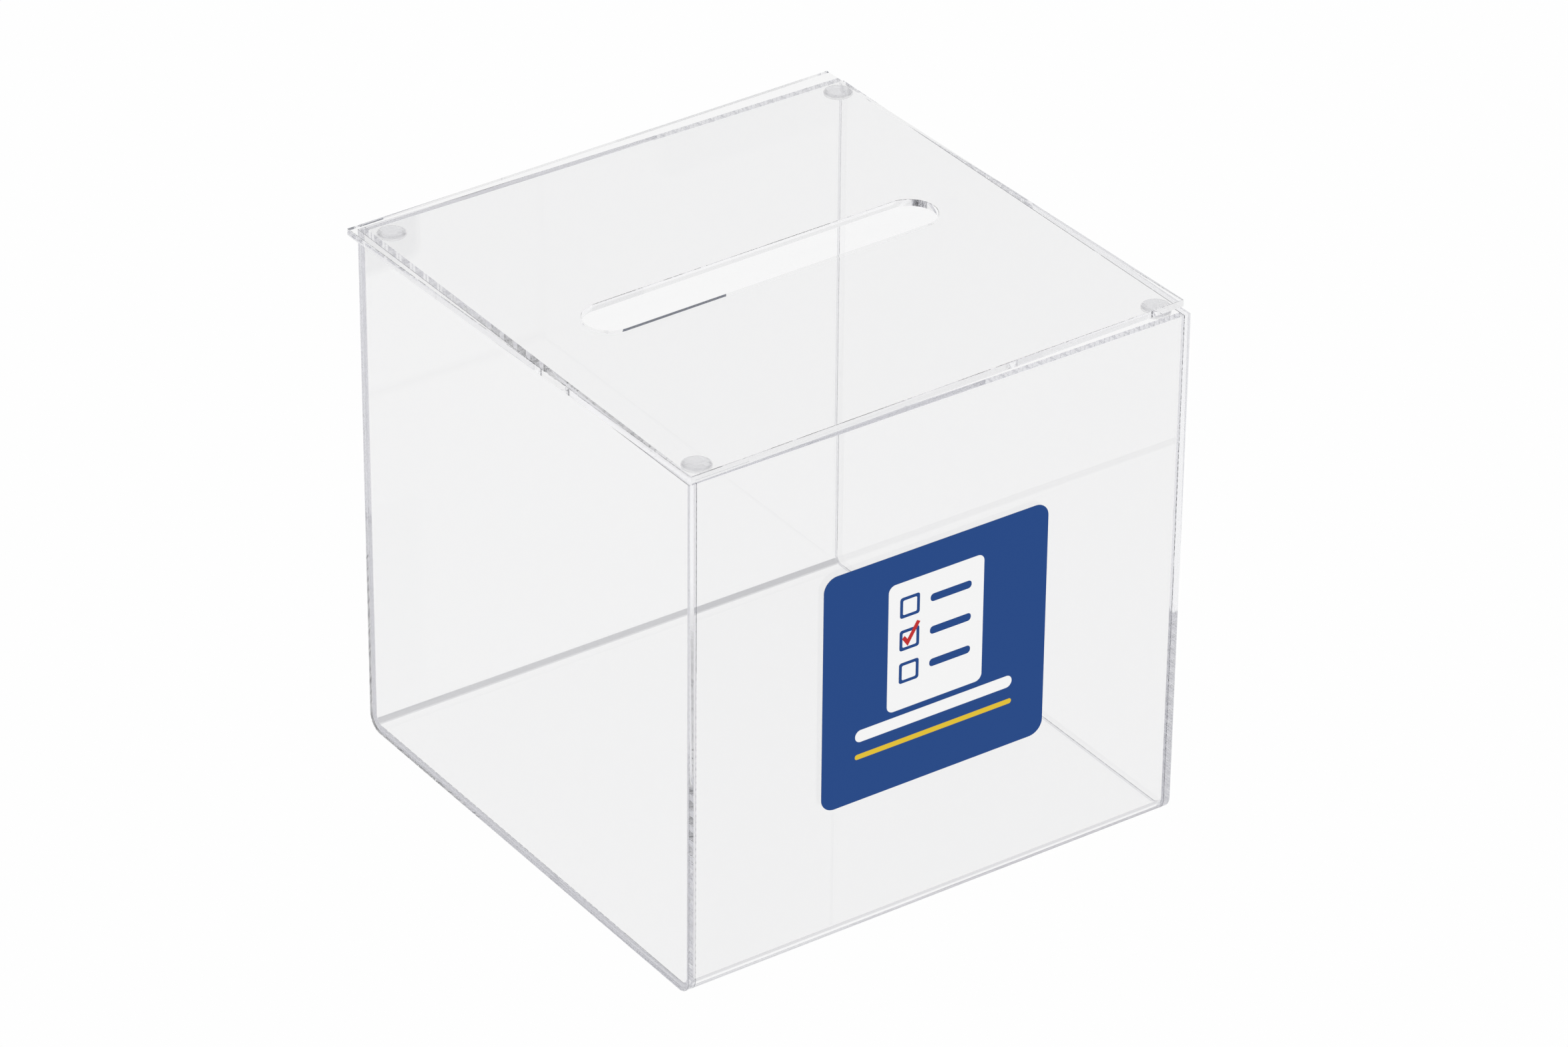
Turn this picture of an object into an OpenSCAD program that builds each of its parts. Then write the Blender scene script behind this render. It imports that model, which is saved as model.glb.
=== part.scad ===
// Clear acrylic ballot box with a loose slotted lid.
// X runs along the front wall, Y to the back and Z up, in millimetres.
// The origin is on the underside, in the middle of the box.

/* [Box] */
// Outside width of the box, over the two side panels
box_w = 300; // [250:5:500]
// Outside depth of the box, over the front and back walls
box_d = 300; // [200:5:500]
// Height of the walls, from the underside of the floor to the rim
box_h = 296; // [200:2:500]
// Thickness of the sheet of the walls, the floor and the side panels
sheet_t = 4; // [3:0.5:6]
// Outside radius of the bends under the front wall and the back wall
bend_r = 9; // [7:0.5:14]
// Thickness of the cement between each side panel and the bent sheet
cement_t = 0.1; // [0.05:0.05:0.3]

/* [Lid] */
// Thickness of the lid
lid_t = 4; // [3:0.5:8]
// How far the lid would stand past each outer face if it lay centred
lid_overhang = 0; // [0:0.5:10]
// How far the lid lies off the centre of the box towards the right panel
lid_shift_x = -2.2; // [-4:0.1:4]
// How far the lid lies off the centre of the box towards the back wall
lid_shift_y = 4.2; // [-5:0.1:5]
// How far the lid lies turned on the rim, in degrees, anticlockwise from above
lid_turn = 1.3; // [-2:0.1:2]

/* [Slot] */
// Length of the slot over its round ends
slot_l = 214; // [80:2:230]
// Width of the slot
slot_w = 29; // [8:1:60]

/* [Bumpers] */
// Diameter of a bumper at its base
bumper_d = 15.5; // [10:0.5:20]
// Height of a bumper from its base to the top of its dome
bumper_h = 3.2; // [2:0.2:6]
// Height of the upright rim round a bumper's base
bumper_rim = 0.8; // [0.2:0.1:1.5]
// Gap between a bumper and each of the two walls whose corner it sits in
bumper_gap = 0.7; // [0.3:0.1:5]
// Thickness of the adhesive disc that holds a bumper
adhesive_t = 0.15; // [0.05:0.05:0.4]
// How far the adhesive disc stays inside the edge of the bumper's base
adhesive_inset = 0.5; // [0.1:0.1:2]

/* [Label] */
// Width of the label
label_w = 136; // [60:2:230]
// Height of the label
label_h = 136; // [60:2:170]
// Radius of the label's corners
label_r = 8; // [1:1:25]
// Thickness of the label's film
label_t = 0.2; // [0.1:0.05:0.5]
// How far the label's centre lies to the right of the front wall's centre
label_x = -3; // [-8:1:8]
// How far the label's centre lies above the middle of the wall's height
label_rise = 0; // [-15:1:15]

/* [Hidden] */
$fn = 96;
inner_w = box_w - 2 * sheet_t;
inner_d = box_d - 2 * sheet_t;
channel_w = inner_w - 2 * cement_t;
lid_w = box_w + 2 * lid_overhang;
lid_d = box_d + 2 * lid_overhang;
// The bumpers nest in the corners between the walls, whichever way the lid is stuck on them
bumper_x = inner_w / 2 - bumper_gap - bumper_d / 2;
bumper_y = inner_d / 2 - bumper_gap - bumper_d / 2;
// Radius of the sphere that a bumper's dome is cut from
dome_h = bumper_h - bumper_rim;
dome_r = (pow(bumper_d / 2, 2) + pow(dome_h, 2)) / (2 * dome_h);
// Cutting tools run this far past the faces that they open
past = 1;

// The box seen from the side: square at the rim, round at the two bends
module side_outline(depth, height, radius) {
    translate([-depth / 2, radius]) square([depth, height - radius]);
    translate([-depth / 2 + radius, 0]) square([depth - 2 * radius, height]);
    for (side = [-1, 1])
        translate([side * (depth / 2 - radius), radius]) circle(r = radius);
}

// The bent sheet seen on its end: front wall, floor and back wall
module channel_outline() {
    difference() {
        side_outline(box_d, box_h, bend_r);
        translate([0, sheet_t]) side_outline(inner_d, box_h, bend_r - sheet_t);
    }
}

// Raises an outline drawn in the side view into a solid from x on, along X
module along_x(x, length) {
    translate([x, 0, 0]) rotate([90, 0, 90]) linear_extrude(length) children();
}

module bent_sheet() {
    color([0.93, 0.94, 0.95, 0.35]) along_x(-channel_w / 2, channel_w) channel_outline();
}

// side is -1 for the left panel and 1 for the right one
module side_panel(side) {
    color([0.90, 0.91, 0.94, 0.35])
        along_x(side < 0 ? -box_w / 2 : box_w / 2 - sheet_t, sheet_t)
            side_outline(box_d, box_h, bend_r);
}

module side_cement(side) {
    color([0.80, 0.81, 0.84, 0.6])
        along_x(side < 0 ? -inner_w / 2 : inner_w / 2 - cement_t, cement_t)
            channel_outline();
}

module rounded_rectangle(width, height, radius) {
    square([width - 2 * radius, height], center = true);
    square([width, height - 2 * radius], center = true);
    for (x = [-1, 1], y = [-1, 1])
        translate([x * (width / 2 - radius), y * (height / 2 - radius)]) circle(r = radius);
}

// The label lies on the outer face of the front wall
module label() {
    color([0.16, 0.29, 0.52])
        translate([label_x, -box_d / 2, box_h / 2 + label_rise])
            rotate([90, 0, 0]) linear_extrude(label_t) rounded_rectangle(label_w, label_h, label_r);
}

// Carries the lid from its own frame, whose origin is in the middle of its underside, to
// where it lies on the rim
module on_rim() {
    translate([lid_shift_x, lid_shift_y, box_h]) rotate([0, 0, lid_turn]) children();
}

module slot_cut() {
    straight = slot_l - slot_w;
    translate([-straight / 2, -slot_w / 2, -past]) cube([straight, slot_w, lid_t + 2 * past]);
    for (side = [-1, 1])
        translate([side * straight / 2, 0, -past]) cylinder(d = slot_w, h = lid_t + 2 * past);
}

module lid() {
    color([0.93, 0.94, 0.95, 0.35]) on_rim() difference() {
        translate([-lid_w / 2, -lid_d / 2, 0]) cube([lid_w, lid_d, lid_t]);
        slot_cut();
    }
}

// Carries a piece to the lid's underside in the corner of the box that across (-1 left,
// 1 right) and along (-1 front, 1 back) name
module at_corner(across, along) {
    translate([across * bumper_x, along * bumper_y, box_h]) children();
}

// A clear dome that hangs crown down from its adhesive disc
module bumper(across, along) {
    color([0.88, 0.88, 0.90, 0.7]) at_corner(across, along)
        translate([0, 0, -adhesive_t]) mirror([0, 0, 1]) {
            cylinder(d = bumper_d, h = bumper_rim);
            intersection() {
                translate([0, 0, bumper_h - dome_r]) sphere(r = dome_r);
                translate([0, 0, bumper_rim / 2]) cylinder(d = bumper_d, h = bumper_h);
            }
        }
}

module bumper_adhesive() {
    color([0.90, 0.90, 0.90, 0.6])
        for (across = [-1, 1], along = [-1, 1])
            at_corner(across, along)
                translate([0, 0, -adhesive_t])
                    cylinder(d = bumper_d - 2 * adhesive_inset, h = adhesive_t);
}

bent_sheet();
side_panel(-1);  // left_panel
side_panel(1);  // right_panel
side_cement(-1);  // left_cement
side_cement(1);  // right_cement
label();
lid();
bumper(-1, -1);  // bumper_front_left
bumper(1, -1);  // bumper_front_right
bumper(-1, 1);  // bumper_back_left
bumper(1, 1);  // bumper_back_right
bumper_adhesive();
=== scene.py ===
"""The looks of the clear acrylic ballot box: its sheets, cut edges, bumpers and label,
on a plain white floor, seen from the photograph's camera. Lengths are in metres."""

import math

import bmesh
import bpy
import numpy as np
from mathutils import Matrix, Vector
from mathutils.geometry import tessellate_polygon


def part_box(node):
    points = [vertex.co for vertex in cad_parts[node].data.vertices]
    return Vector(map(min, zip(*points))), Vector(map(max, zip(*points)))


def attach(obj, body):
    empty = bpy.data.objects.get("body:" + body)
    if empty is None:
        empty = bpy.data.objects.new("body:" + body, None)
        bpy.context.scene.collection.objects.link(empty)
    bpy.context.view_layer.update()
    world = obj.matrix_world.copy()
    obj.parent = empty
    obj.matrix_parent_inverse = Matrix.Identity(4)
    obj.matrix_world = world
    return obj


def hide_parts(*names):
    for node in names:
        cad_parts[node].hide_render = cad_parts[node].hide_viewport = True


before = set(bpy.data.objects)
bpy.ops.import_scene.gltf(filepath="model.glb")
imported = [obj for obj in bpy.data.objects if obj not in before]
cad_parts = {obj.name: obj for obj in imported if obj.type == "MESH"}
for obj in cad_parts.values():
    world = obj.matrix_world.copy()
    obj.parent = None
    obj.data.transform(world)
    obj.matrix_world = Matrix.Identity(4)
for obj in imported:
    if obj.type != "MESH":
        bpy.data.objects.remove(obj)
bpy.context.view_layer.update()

# Sizes that the CAD model also has
MM = 0.001
BEND_R = 9 * MM
LID_T = 4 * MM
LID_SIDE = 300 * MM
LID_SHIFT = (-2.2 * MM, 4.2 * MM)
LID_TURN = math.radians(1.3)
SLOT_L = 214 * MM
SLOT_W = 29 * MM
BUMPER_RIM = 0.8 * MM

# Small gaps that keep touching faces apart: under the lid, and behind the label's film
REST_GAP = 0.03 * MM
LABEL_GAP = 0.02 * MM

# Chamfers, and the flat stretch at each end of a bend, which keeps its shading clean
CHAMFER = 0.15 * MM
BUMPER_CHAMFER = 0.1 * MM
TANGENT_LEAD = 0.3 * MM
# How many steps a curve has
BEND_STEPS = 16
SLOT_STEPS = 32
DOME_STEPS = 20
DOME_TURNS = 96
PRINT_STEPS = 8
# Edges that turn by more than this stay sharp
SHARP = math.radians(25)

# Tests on a face's normal: it faces one way, or it doesn't, or it faces two ways at once
FACING = 0.9
SIDEWAYS = 0.5
BEND_MIDDLE = 0.5

# The photograph's camera: where it stands, and which way its picture's right side, lower
# side and depth run
CAMERA_AT = (-1.7515, -2.5221, 2.0063)
CAMERA_RIGHT = (0.82275, -0.56835, 0.00839)
CAMERA_DOWN = (-0.2882, -0.42984, -0.85567)
CAMERA_AHEAD = (0.48992, 0.70159, -0.51745)
CAMERA_LENS = 161.08
CAMERA_SENSOR = 36
CAMERA_SEES = 100

# Brightness of the studio, as linear light
FLOOR_LIGHT = 0.992
ROOM_LIGHT = 0.9
FLOOR_SIDE = 40
FLOOR_DROP = 0.5 * MM
# How often light may turn, which is often where it runs along a sheet from edge to edge
LONG_PATH = 240

# Clear acrylic: what each face passes, and how the sheet darkens light that runs along it,
# per metre, less in blue than in red
ACRYLIC_IOR = 1.49
SHEET_TINT = (0.942, 0.942, 0.944)
# The middle of each bend is tinted darker: painted shade, not a colour of the sheet
BEND_PAINTED_SHADE = (0.56, 0.56, 0.58)
ABSORPTION = 0.17
ABSORBED_LESS = (0.2, 0.2, 0.42)

# Saw and polish marks on the cut edges. The scales are of noise along an edge, per metre.
MARK_DEPTH = 0.4 * MM
MARK_DETAIL = 2
FINE_SCALE = 150
FINE_DEPTH = 0.015
DULL_SCALE = 60
DULLEST = 0.015
# Where the saw chattered it left even, frosted marks, a pitch apart but shifted unevenly
MARK_PITCH = 7 * MM
SHIFT_SCALE = 90
SHIFT_MOST = 14
FADE_FROM = 0.6
FROST_AMOUNT = 0.5
FROST_ROUGHNESS = 0.6
# Painted shade that darkens the frost in the marks' troughs; the frost itself is light
FROST_PAINTED_SHADE = (0.42, 0.42, 0.44)
FROST_LIGHT = (0.97, 0.97, 0.98)
# How far from its lower back corner the left panel carries such marks
CHATTER_REACH = 120 * MM
# Where there are none, the reach stays small, round a place that no cut edge is near
NO_CHATTER = (0, 0, 0)
NO_REACH = 10 * MM

# Cement, adhesive and bumpers
CEMENT_TINT = (0.86, 0.86, 0.875)
ADHESIVE_TINT = (0.97, 0.97, 0.975)
ADHESIVE_GLOSS = 0.05
GLOSS_TINT = (0.9, 0.9, 0.92)
GLOSS_ROUGHNESS = 0.2
BUMPER_TINT = (0.985, 0.985, 0.99)
BUMPER_ROUGHNESS = 0.12
BUMPER_IOR = 1.4

# The label's film and inks
PRINT_T = 0.02 * MM
PRINT_ROUGHNESS = 0.35
PRINT_SHINE = 0.05
BLUE = (0.0185, 0.068, 0.25)
WHITE = (0.96, 0.96, 0.96)
RED = (0.55, 0.03, 0.03)
YELLOW = (0.8, 0.55, 0.04)

# The colour sockets of Blender's Mix node: the share, the two colours and the result
MIX_SHARE, MIX_FIRST, MIX_SECOND, MIX_RESULT = 0, 6, 7, 2


# Materials

def new_material(name):
    """An empty node material: (material, its nodes, its links, its output node)."""
    material = bpy.data.materials.new(name)
    material.use_nodes = True
    nodes = material.node_tree.nodes
    nodes.clear()
    output = nodes.new("ShaderNodeOutputMaterial")
    return material, nodes, material.node_tree.links, output


def feed(links, socket, value):
    """Sets a socket to a number, or links it to another node's output."""
    if isinstance(value, (int, float)):
        socket.default_value = value
    else:
        links.new(value, socket)


def principled(nodes, colour, roughness, ior=ACRYLIC_IOR, transmission=0.0):
    shader = nodes.new("ShaderNodeBsdfPrincipled")
    shader.inputs["Base Color"].default_value = (*colour, 1)
    shader.inputs["Roughness"].default_value = roughness
    shader.inputs["IOR"].default_value = ior
    shader.inputs["Transmission Weight"].default_value = transmission
    return shader


def math_node(nodes, links, operation, first, second):
    node = nodes.new("ShaderNodeMath")
    node.operation = operation
    for socket, value in zip(node.inputs, (first, second)):
        feed(links, socket, value)
    return node.outputs[0]


def colour_mix(nodes, links, share, first, second):
    """The colour that goes from first to second as share goes from 0 to 1."""
    mix = nodes.new("ShaderNodeMix")
    mix.data_type = "RGBA"
    mix.inputs[MIX_FIRST].default_value = (*first, 1)
    mix.inputs[MIX_SECOND].default_value = (*second, 1)
    links.new(share, mix.inputs[MIX_SHARE])
    return mix.outputs[MIX_RESULT]


def shader_mix(nodes, links, share, first, second):
    """The shader that goes from first to second as share goes from 0 to 1."""
    mix = nodes.new("ShaderNodeMixShader")
    feed(links, mix.inputs[0], share)
    links.new(first, mix.inputs[1])
    links.new(second, mix.inputs[2])
    return mix.outputs[0]


def printed(name, colour):
    """Satin ink or film."""
    material, nodes, links, output = new_material(name)
    shader = principled(nodes, colour, PRINT_ROUGHNESS)
    shader.inputs["Specular IOR Level"].default_value = PRINT_SHINE
    links.new(shader.outputs[0], output.inputs["Surface"])
    return material


def clear_acrylic(name, along, worn=NO_CHATTER, reach=NO_REACH):
    """Polished acrylic. Faces whose attribute cut is 1 carry saw and polish marks, which
    vary only with the distance along the edge, the dot product of the place and along, and
    are strong and frosted within reach of the place worn, where the saw chattered; there
    painted shade darkens the frost in the marks' troughs. Faces whose attribute bend is 1
    are tinted darker, as painted shade. Faces whose attribute joint is 1 touch cement and
    let light straight through."""
    material, nodes, links, output = new_material(name)

    def maths(operation, first, second):
        return math_node(nodes, links, operation, first, second)

    def attribute(label):
        node = nodes.new("ShaderNodeAttribute")
        node.attribute_name = label
        return node.outputs["Fac"]

    def vector_maths(operation, vector, result):
        node = nodes.new("ShaderNodeVectorMath")
        node.operation = operation
        node.inputs[1].default_value = vector
        links.new(place.outputs["Object"], node.inputs[0])
        return node.outputs[result]

    def marks(scale):
        noise = nodes.new("ShaderNodeTexNoise")
        noise.noise_dimensions = "1D"
        noise.inputs["Scale"].default_value = scale
        noise.inputs["Detail"].default_value = MARK_DETAIL
        links.new(run, noise.inputs["W"])
        return noise.outputs["Fac"]

    cut, joint, bend = attribute("cut"), attribute("joint"), attribute("bend")
    place = nodes.new("ShaderNodeTexCoord")
    run = vector_maths("DOT_PRODUCT", along, "Value")
    away = vector_maths("DISTANCE", worn, "Value")
    near = nodes.new("ShaderNodeMapRange")
    near.interpolation_type = "SMOOTHSTEP"
    near.inputs["From Min"].default_value = reach * FADE_FROM
    near.inputs["From Max"].default_value = reach
    near.inputs["To Min"].default_value = 1
    near.inputs["To Max"].default_value = 0
    links.new(away, near.inputs["Value"])
    chattered = near.outputs[0]

    # The marks' shape: a sine along the edge where the saw chattered, and fine noise
    turns = maths("MULTIPLY", run, 2 * math.pi / MARK_PITCH)
    shifted = maths("ADD", turns, maths("MULTIPLY", marks(SHIFT_SCALE), SHIFT_MOST))
    chatter = maths("SINE", shifted, 0)
    fine = maths("MULTIPLY", marks(FINE_SCALE), FINE_DEPTH)
    bump = nodes.new("ShaderNodeBump")
    bump.inputs["Distance"].default_value = MARK_DEPTH
    links.new(maths("ADD", maths("MULTIPLY", chatter, chattered), fine), bump.inputs["Height"])
    links.new(cut, bump.inputs["Strength"])

    clear = principled(nodes, SHEET_TINT, 0.0, ACRYLIC_IOR, 1.0)
    links.new(bump.outputs["Normal"], clear.inputs["Normal"])
    dull = maths("MULTIPLY", marks(DULL_SCALE), DULLEST)
    links.new(maths("MULTIPLY", dull, cut), clear.inputs["Roughness"])
    # The middle of a bend is tinted darker, as painted shade
    links.new(colour_mix(nodes, links, bend, SHEET_TINT, BEND_PAINTED_SHADE), clear.inputs["Base Color"])

    # The frost lies on the marks, light on their crests, and painted shade darkens it in their
    # troughs
    frost = principled(nodes, FROST_LIGHT, FROST_ROUGHNESS)
    crest = maths("MULTIPLY", maths("ADD", chatter, 1), 0.5)
    links.new(colour_mix(nodes, links, crest, FROST_PAINTED_SHADE, FROST_LIGHT), frost.inputs["Base Color"])
    frosted = maths("MULTIPLY", maths("MULTIPLY", chattered, cut), FROST_AMOUNT)
    sawn = shader_mix(nodes, links, frosted, clear.outputs[0], frost.outputs[0])

    straight = nodes.new("ShaderNodeBsdfTransparent")
    surface = shader_mix(nodes, links, joint, sawn, straight.outputs[0])
    links.new(surface, output.inputs["Surface"])
    inside = nodes.new("ShaderNodeVolumeAbsorption")
    inside.inputs["Color"].default_value = (*ABSORBED_LESS, 1)
    inside.inputs["Density"].default_value = ABSORPTION
    links.new(inside.outputs[0], output.inputs["Volume"])
    return material


def thin_film(name, colour, gloss):
    """A film too thin to bend light: tinted clear, with a share of gloss."""
    material, nodes, links, output = new_material(name)
    clear = nodes.new("ShaderNodeBsdfTransparent")
    clear.inputs["Color"].default_value = (*colour, 1)
    shine = principled(nodes, GLOSS_TINT, GLOSS_ROUGHNESS)
    surface = shader_mix(nodes, links, gloss, clear.outputs[0], shine.outputs[0])
    links.new(surface, output.inputs["Surface"])
    return material


def clear_bumper():
    """Clear soft polyurethane, a little milky."""
    material, nodes, links, output = new_material("clear_bumper")
    shader = principled(nodes, BUMPER_TINT, BUMPER_ROUGHNESS, BUMPER_IOR, 1.0)
    links.new(shader.outputs[0], output.inputs["Surface"])
    return material


def glowing(name, strength):
    """White that gives off its own light, so that nothing shades it."""
    material, nodes, links, output = new_material(name)
    glow = nodes.new("ShaderNodeEmission")
    glow.inputs["Color"].default_value = (1, 1, 1, 1)
    glow.inputs["Strength"].default_value = strength
    links.new(glow.outputs[0], output.inputs["Surface"])
    return material


def dip(node, material):
    """Gives a CAD node a material in place of its own."""
    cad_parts[node].data.materials.clear()
    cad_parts[node].data.materials.append(material)


# Shapes. An outline is an array with one row for each of its points.

def arc(centre, radius, start, end, steps):
    """An arc about centre: the radius times the cosine and the sine of angles that go
    evenly from start to end, in degrees."""
    angles = np.radians(np.linspace(start, end, steps + 1))
    return np.array(centre) + radius * np.column_stack((np.cos(angles), np.sin(angles)))


def side_outline(half, top, radius, floor):
    """The box seen from the side: upright front and back, round at the two bends, each a
    quarter turn about a centre one radius above the floor."""
    flat = radius + floor + TANGENT_LEAD
    turn = half - radius
    level = turn - TANGENT_LEAD
    return np.vstack((
        [(-half, top), (-half, flat)],
        arc((-turn, floor + radius), radius, 180, 270, BEND_STEPS),
        [(-level, floor), (level, floor)],
        arc((turn, floor + radius), radius, 270, 360, BEND_STEPS),
        [(half, flat), (half, top)],
    ))


def rounded_rectangle(centre, size, radius):
    """A rectangle with round corners, anticlockwise: a quarter turn about each corner's
    own centre, one radius inside both of its sides."""
    across, up = size[0] / 2 - radius, size[1] / 2 - radius
    corners = [(1, -1, 270), (1, 1, 0), (-1, 1, 90), (-1, -1, 180)]
    return np.vstack([
        arc((centre[0] + side * across, centre[1] + end * up), radius, angle, angle + 90,
            PRINT_STEPS)
        for side, end, angle in corners
    ])


def inset(outline, distance):
    """A closed outline moved inwards by distance, its corners mitred: each point moves by
    the sum of its two edges' inward normals over one plus their dot product."""
    edges = np.roll(outline, -1, axis=0) - outline
    edges /= np.linalg.norm(edges, axis=1, keepdims=True)
    after = np.column_stack((-edges[:, 1], edges[:, 0]))
    before = np.roll(after, 1, axis=0)
    return outline + distance * (before + after) / (1 + (before * after).sum(axis=1, keepdims=True))


def grid_faces(first, rings, count):
    """The four-sided faces of a grid that closes on itself: rings of count vertices each,
    numbered on from first. Face (ring, step) joins two steps of one ring to the next."""
    ring, step = np.indices((rings - 1, count))
    low, after = first + ring * count, (step + 1) % count
    return np.stack((low + step, low + after, low + count + after, low + count + step),
                    axis=-1).reshape(-1, 4).tolist()


def cap_faces(numbers, *loops):
    """Fills a flat shape with triangles. Its loops, the outline and then its holes, give
    the numbered vertices' places."""
    flat = [np.column_stack((loop, np.zeros(len(loop)))).tolist() for loop in loops]
    return numbers[np.array(tessellate_polygon(flat))].tolist()


def split_cap(numbers, ring, inner, first):
    """Fills a flat shape whose ring ends with the two top corners of an inner outline, in
    two parts: the band outside the inner outline, and what lies inside it. The inner
    outline's other points are vertices numbered on from first. Gives (band, inside)."""
    within = first + np.arange(len(inner))
    left = numbers[-1:]
    band = cap_faces(np.concatenate((numbers[:-1], within[::-1], left)),
                     np.vstack((ring[:-1], inner[::-1], ring[-1:])))
    inside = cap_faces(np.concatenate((left, within, numbers[-2:-1])),
                       np.vstack((ring[-1:], inner, ring[-2:-1])))
    return band, inside


def prism(name, outline, low, high, place, material, holes=(), chamfer=CHAMFER, cut=None,
          joint=None, bend=None, contact=None):
    """An outline raised from low to high, with chamfered rims. Each loop, the outline or a
    hole, is a grid: its points at four heights, drawn in by the chamfer at the first and
    the last. place turns points and their height into places in the frame. cut, joint and
    bend say of faces, from their middles and normals, which are sawn, touch cement or lie
    in the middle of a bend. contact, (cap, inner outline), splits a cap whose outline ends
    with the inner one's two top corners: the band outside it touches cement."""
    heights = (low, low + chamfer, high - chamfer, high)
    vertices, faces = [], []
    caps = {0: [], 3: []}
    made = 0
    for loop, side in [(outline, 1), *((hole, -1) for hole in holes)]:
        rings = [inset(loop, side * chamfer), loop, loop, inset(loop, side * chamfer)]
        vertices += [place(ring, height) for ring, height in zip(rings, heights)]
        faces += grid_faces(made, len(rings), len(loop))
        for level in caps:
            caps[level].append((made + level * len(loop) + np.arange(len(loop)), rings[level]))
        made += len(rings) * len(loop)
    touching = slice(0, 0)
    for level, loops in caps.items():
        numbers = np.concatenate([numbered for numbered, ring in loops])
        if contact and contact[0] == level:
            inner = contact[1][1:-1]
            band, inside = split_cap(numbers, loops[0][1], inner, made)
            vertices.append(place(inner, heights[level]))
            touching = slice(len(faces), len(faces) + len(band))
            faces += band + inside
        else:
            faces += cap_faces(numbers, *(ring for numbered, ring in loops))
    mesh = bpy.data.meshes.new(name)
    mesh.from_pydata(np.concatenate(vertices), [], faces)
    outwards(mesh)
    middles, normals = face_values(mesh, "center"), face_values(mesh, "normal")
    for label, test in (("cut", cut), ("joint", joint), ("bend", bend)):
        marked = np.zeros(len(faces), dtype=np.float32)
        if test:
            marked[test(middles, normals)] = 1
        if label == "joint":
            marked[touching] = 1
        mesh.attributes.new(label, "FLOAT", "FACE").data.foreach_set("value", marked)
    smooth(mesh)
    return new_piece(name, mesh, material)


def face_values(mesh, label):
    """The middles or the normals of a mesh's faces, one row each."""
    values = np.empty(3 * len(mesh.polygons), dtype=np.float32)
    mesh.polygons.foreach_get(label, values)
    return values.reshape(-1, 3)


def outwards(mesh):
    work = bmesh.new()
    work.from_mesh(mesh)
    bmesh.ops.recalc_face_normals(work, faces=work.faces)
    work.to_mesh(mesh)
    work.free()


def smooth(mesh):
    mesh.polygons.foreach_set("use_smooth", np.ones(len(mesh.polygons), dtype=bool))
    mesh.set_sharp_from_angle(angle=SHARP)


def new_piece(name, mesh, material):
    mesh.materials.append(material)
    piece = bpy.data.objects.new(name, mesh)
    bpy.context.scene.collection.objects.link(piece)
    return piece


def join(name, pieces):
    """The pieces' meshes in one object."""
    with bpy.context.temp_override(active_object=pieces[0], selected_editable_objects=pieces):
        bpy.ops.object.join()
    pieces[0].name = name
    return pieces[0]


def dress(piece, body, slot, *nodes):
    """Puts a piece on its body, in place of its CAD nodes."""
    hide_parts(*nodes)
    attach(piece, body)


# The box's own sizes, from the CAD nodes
panel_low, panel_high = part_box("left_panel")
sheet_low, sheet_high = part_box("bent_sheet")
SHEET_T = panel_high.x - panel_low.x
RIM = panel_high.z
HALF_DEPTH = panel_high.y
INNER_DEPTH = HALF_DEPTH - SHEET_T

outer = side_outline(HALF_DEPTH, RIM, BEND_R, 0)
inner = side_outline(INNER_DEPTH, RIM, BEND_R - SHEET_T, SHEET_T)
# The sheet's front face stays just behind the label's film, as one behind the other
walls = side_outline(HALF_DEPTH - LABEL_GAP, RIM, BEND_R - LABEL_GAP, 0)


def across_x(points, x):
    """Points of the side view, (y, z), at the place x."""
    return np.column_stack((np.full(len(points), x), points))


# The bent sheet: front wall, floor and back wall
def sheet_rim(middles, normals):
    return (normals[:, 2] > FACING) & (middles[:, 2] > RIM - SHEET_T)


def sheet_end(middles, normals):
    return abs(normals[:, 0]) > FACING


def sheet_bend(middles, normals):
    """The middle of a bend: there the sheet faces both sideways and up or down."""
    both = np.minimum(abs(normals[:, 1]), abs(normals[:, 2]))
    return (middles[:, 2] < BEND_R) & (both > BEND_MIDDLE)


bent_walls = prism("bent_walls", np.vstack((walls, inner[::-1])), sheet_low.x, sheet_high.x,
                   across_x, clear_acrylic("bent_acrylic", (1, 0, 0)),
                   cut=sheet_rim, joint=sheet_end, bend=sheet_bend)
dress(bent_walls, "box", "clear_acrylic", "bent_sheet")

# The side panels. The saw chattered at the left one's lower back corner.
panel_acrylic = clear_acrylic("panel_acrylic", (0.6, 1, -1), (panel_low.x, HALF_DEPTH, 0),
                              CHATTER_REACH)
panel_outline = np.vstack((outer, [(INNER_DEPTH, RIM), (-INNER_DEPTH, RIM)]))


def panel_edge(middles, normals):
    return abs(normals[:, 0]) < SIDEWAYS


# The cap that faces the inside is the last of the left panel's and the first of the right's
for side, inner_face in (("left", 3), ("right", 0)):
    low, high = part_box(side + "_panel")
    wall = prism(side + "_wall", panel_outline, low.x, high.x, across_x, panel_acrylic,
                 cut=panel_edge, contact=(inner_face, inner))
    dress(wall, "box", "clear_acrylic", side + "_panel")

cement = thin_film("acrylic_cement", CEMENT_TINT, 0.0)
for side in ("left", "right"):
    dip(side + "_cement", cement)


# The lid
def on_rim(points, height):
    """Points of the lid's own frame, turned and moved to where the lid lies."""
    along, up = math.cos(LID_TURN), math.sin(LID_TURN)
    turned = points @ np.array([(along, up), (-up, along)])
    return np.column_stack((turned + LID_SHIFT, np.full(len(points), height)))


def lid_edge(middles, normals):
    return abs(normals[:, 2]) < SIDEWAYS


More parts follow.
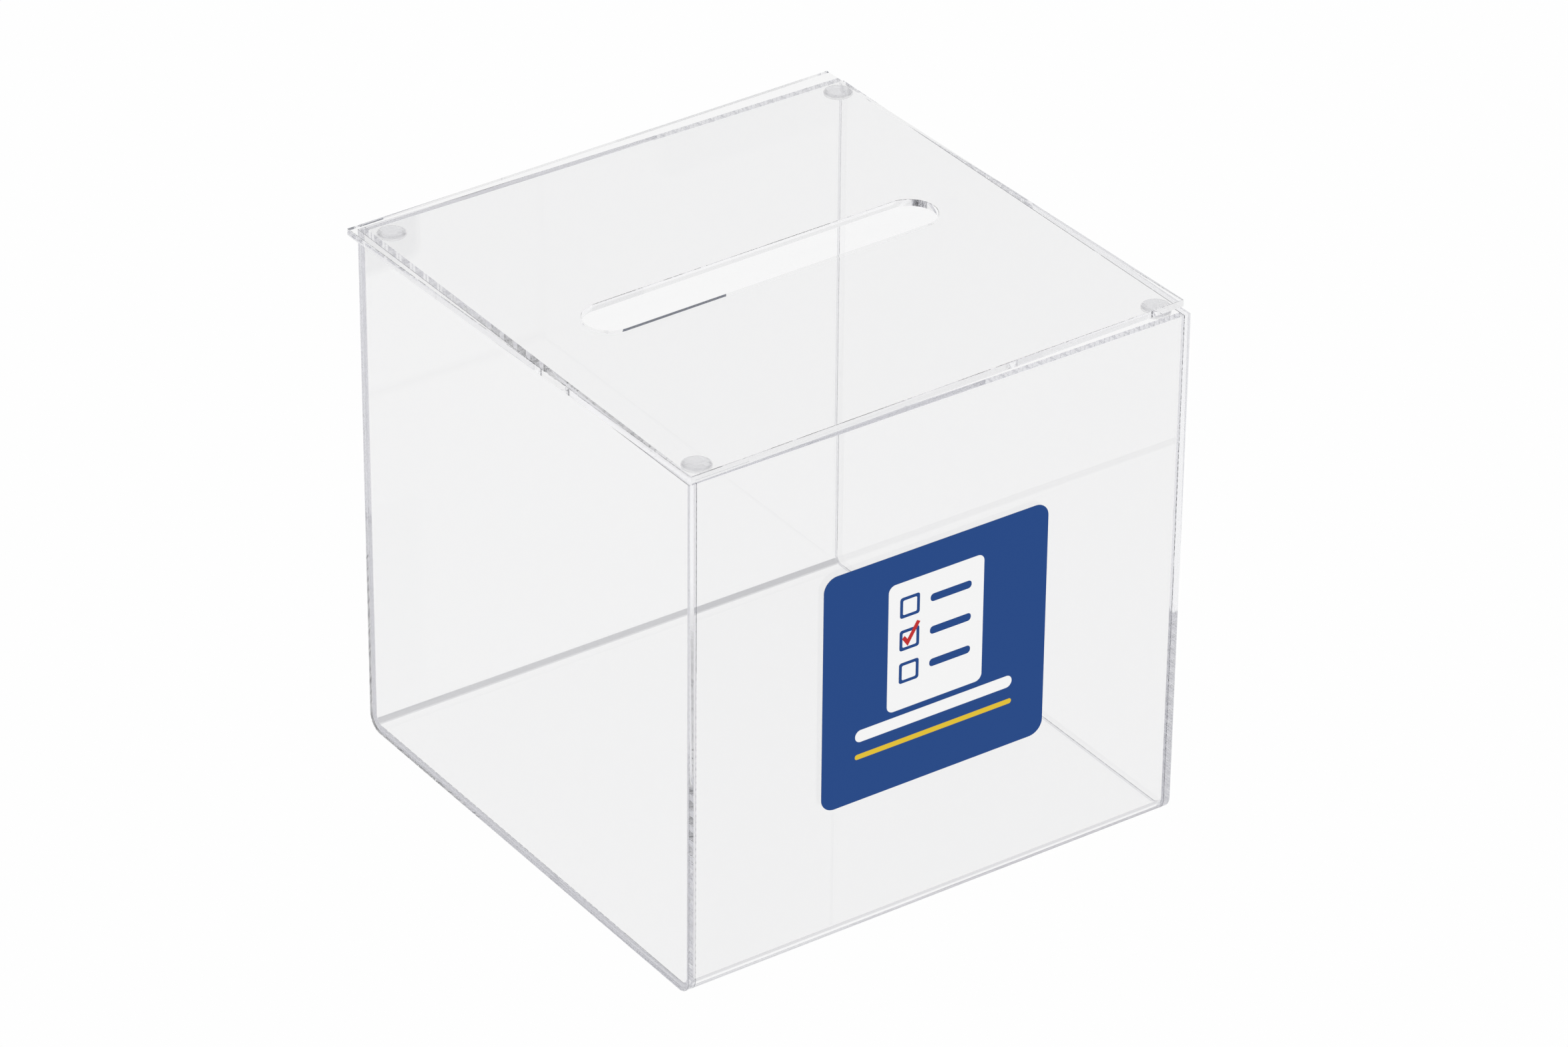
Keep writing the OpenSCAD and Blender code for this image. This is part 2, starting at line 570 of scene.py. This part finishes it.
lid_outline = LID_SIDE / 2 * np.array([(-1, -1), (1, -1), (1, 1), (-1, 1)])
slot_end = (SLOT_L - SLOT_W) / 2
slot_outline = np.vstack((
    arc((slot_end, 0), SLOT_W / 2, -90, 90, SLOT_STEPS),
    arc((-slot_end, 0), SLOT_W / 2, 90, 270, SLOT_STEPS),
))
lid_plate = prism("lid_plate", lid_outline, RIM + REST_GAP, RIM + LID_T, on_rim,
                  clear_acrylic("lid_acrylic", (1, 1, 0)), holes=[slot_outline], cut=lid_edge)
dress(lid_plate, "lid", "clear_acrylic", "lid")


# The bumpers
def bumper_mesh(name, centre, radius, base, crown):
    """A dome that hangs crown down: a profile turned about its own axis, so that each of
    its points is a ring with the cosine and the sine of an even turn. The profile is an
    upright rim from the base, then the circle through the rim's foot and the crown."""
    dome = base - BUMPER_RIM - crown
    ball = (radius ** 2 + dome ** 2) / (2 * dome)
    slopes = math.asin(radius / ball) * (1 - np.arange(DOME_STEPS) / DOME_STEPS)
    reach = np.concatenate(([radius - BUMPER_CHAMFER, radius], ball * np.sin(slopes)))
    height = np.concatenate(([base, base - BUMPER_CHAMFER], crown + ball - ball * np.cos(slopes)))
    turns = 2 * math.pi * np.arange(DOME_TURNS) / DOME_TURNS
    rings = np.stack((centre.x + np.outer(reach, np.cos(turns)),
                      centre.y + np.outer(reach, np.sin(turns)),
                      np.outer(height, np.ones(DOME_TURNS))), axis=-1)
    vertices = np.vstack((rings.reshape(-1, 3), (centre.x, centre.y, crown)))
    pole = len(vertices) - 1
    last = pole - DOME_TURNS + np.arange(DOME_TURNS)
    fan = np.column_stack((last, np.roll(last, -1), np.full(DOME_TURNS, pole)))
    faces = [list(range(DOME_TURNS)), *grid_faces(0, len(reach), DOME_TURNS), *fan.tolist()]
    mesh = bpy.data.meshes.new(name)
    mesh.from_pydata(vertices, [], faces)
    outwards(mesh)
    smooth(mesh)
    return mesh


bumper_material = clear_bumper()
for end in ("front", "back"):
    for side in ("left", "right"):
        node = f"bumper_{end}_{side}"
        low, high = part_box(node)
        mesh = bumper_mesh(node + "_dome", (low + high) / 2, (high.x - low.x) / 2, high.z, low.z)
        dress(new_piece(node + "_dome", mesh, bumper_material), "lid", "clear_bumper", node)

dip("bumper_adhesive", thin_film("clear_adhesive", ADHESIVE_TINT, ADHESIVE_GLOSS))

# The label: a blue film with a generic picture of a ballot paper on its way into a slot
label_low, label_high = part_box("label")
label_middle = (label_low + label_high) / 2
dip("label", printed("label_film", BLUE))
white_ink = printed("white_ink", WHITE)
blue_ink = printed("blue_ink", BLUE)
red_ink = printed("red_ink", RED)
yellow_ink = printed("yellow_ink", YELLOW)

# The picture, in millimetres from the label's middle. A bar or box is its centre, its size
# and the radius of its corners.
PAPER = ((0, 14), (58, 74), 4)
SLOT_BAR = ((0, -30), (96, 7), 3.4)
UNDERLINE = ((0, -42), (96, 3), 1.4)
ROWS = (36, 17, -2)
BOX_X, BOX_SIZE, BOX_R = -16, 12, 1.5
BOX_INSIDE, BOX_INSIDE_R = 8.4, 0.8
LINE_X, LINE_SIZE, LINE_R = 9, (25, 4.5), 2
TICK = [(-20.5, 18), (-17, 13), (-9.5, 25), (-11.5, 26.2), (-17.2, 17.2), (-18.9, 19.5)]


def on_label(points, height):
    """Points of the picture at their height above the film."""
    across, up = (points + (label_middle.x, label_middle.z)).T
    return np.column_stack((across, np.full(len(points), label_low.y - height), up))


def print_shape(outline, layer, ink):
    """A printed shape. One of a higher layer lies on one of a lower layer."""
    return prism("print", np.array(outline) * MM, (layer - 1) * PRINT_T, layer * PRINT_T,
                 on_label, ink, chamfer=PRINT_T / 4)


shapes = [print_shape(rounded_rectangle(*PAPER), 1, white_ink)]
for row in ROWS:
    box = rounded_rectangle((BOX_X, row), (BOX_SIZE, BOX_SIZE), BOX_R)
    box_inside = rounded_rectangle((BOX_X, row), (BOX_INSIDE, BOX_INSIDE), BOX_INSIDE_R)
    line = rounded_rectangle((LINE_X, row), LINE_SIZE, LINE_R)
    shapes.append(print_shape(box, 2, blue_ink))
    shapes.append(print_shape(box_inside, 3, white_ink))
    shapes.append(print_shape(line, 2, blue_ink))
shapes.append(print_shape(TICK, 4, red_ink))
shapes.append(print_shape(rounded_rectangle(*SLOT_BAR), 2, white_ink))
shapes.append(print_shape(rounded_rectangle(*UNDERLINE), 1, yellow_ink))
label_print = join("label_print", shapes)
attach(label_print, "box")


# The studio
def studio():
    scene = bpy.context.scene
    ground = bpy.data.meshes.new("floor")
    reach = FLOOR_SIDE / 2
    corners = [(-reach, -reach), (reach, -reach), (reach, reach), (-reach, reach)]
    ground.from_pydata([(x, y, -FLOOR_DROP) for x, y in corners], [], [(0, 1, 2, 3)])
    floor = new_piece("floor", ground, glowing("white_floor", FLOOR_LIGHT))
    world = bpy.data.worlds.new("room")
    world.use_nodes = True
    room = world.node_tree.nodes["Background"]
    room.inputs["Color"].default_value = (1, 1, 1, 1)
    room.inputs["Strength"].default_value = ROOM_LIGHT
    scene.world = world
    camera_data = bpy.data.cameras.new("camera")
    camera_data.lens = CAMERA_LENS
    camera_data.sensor_width = CAMERA_SENSOR
    camera_data.clip_end = CAMERA_SEES
    camera = bpy.data.objects.new("camera", camera_data)
    axes = (Vector(CAMERA_RIGHT), -Vector(CAMERA_DOWN), -Vector(CAMERA_AHEAD))
    turn = Matrix(axes).transposed().to_4x4()
    camera.matrix_world = Matrix.Translation(CAMERA_AT) @ turn
    scene.collection.objects.link(camera)
    scene.camera = camera
    scene.view_settings.view_transform = "Standard"
    scene.cycles.max_bounces = LONG_PATH
    scene.cycles.transmission_bounces = LONG_PATH
    scene.cycles.glossy_bounces = LONG_PATH
    scene.cycles.transparent_max_bounces = LONG_PATH
    scene.cycles.caustics_reflective = True
    scene.cycles.caustics_refractive = True


studio()
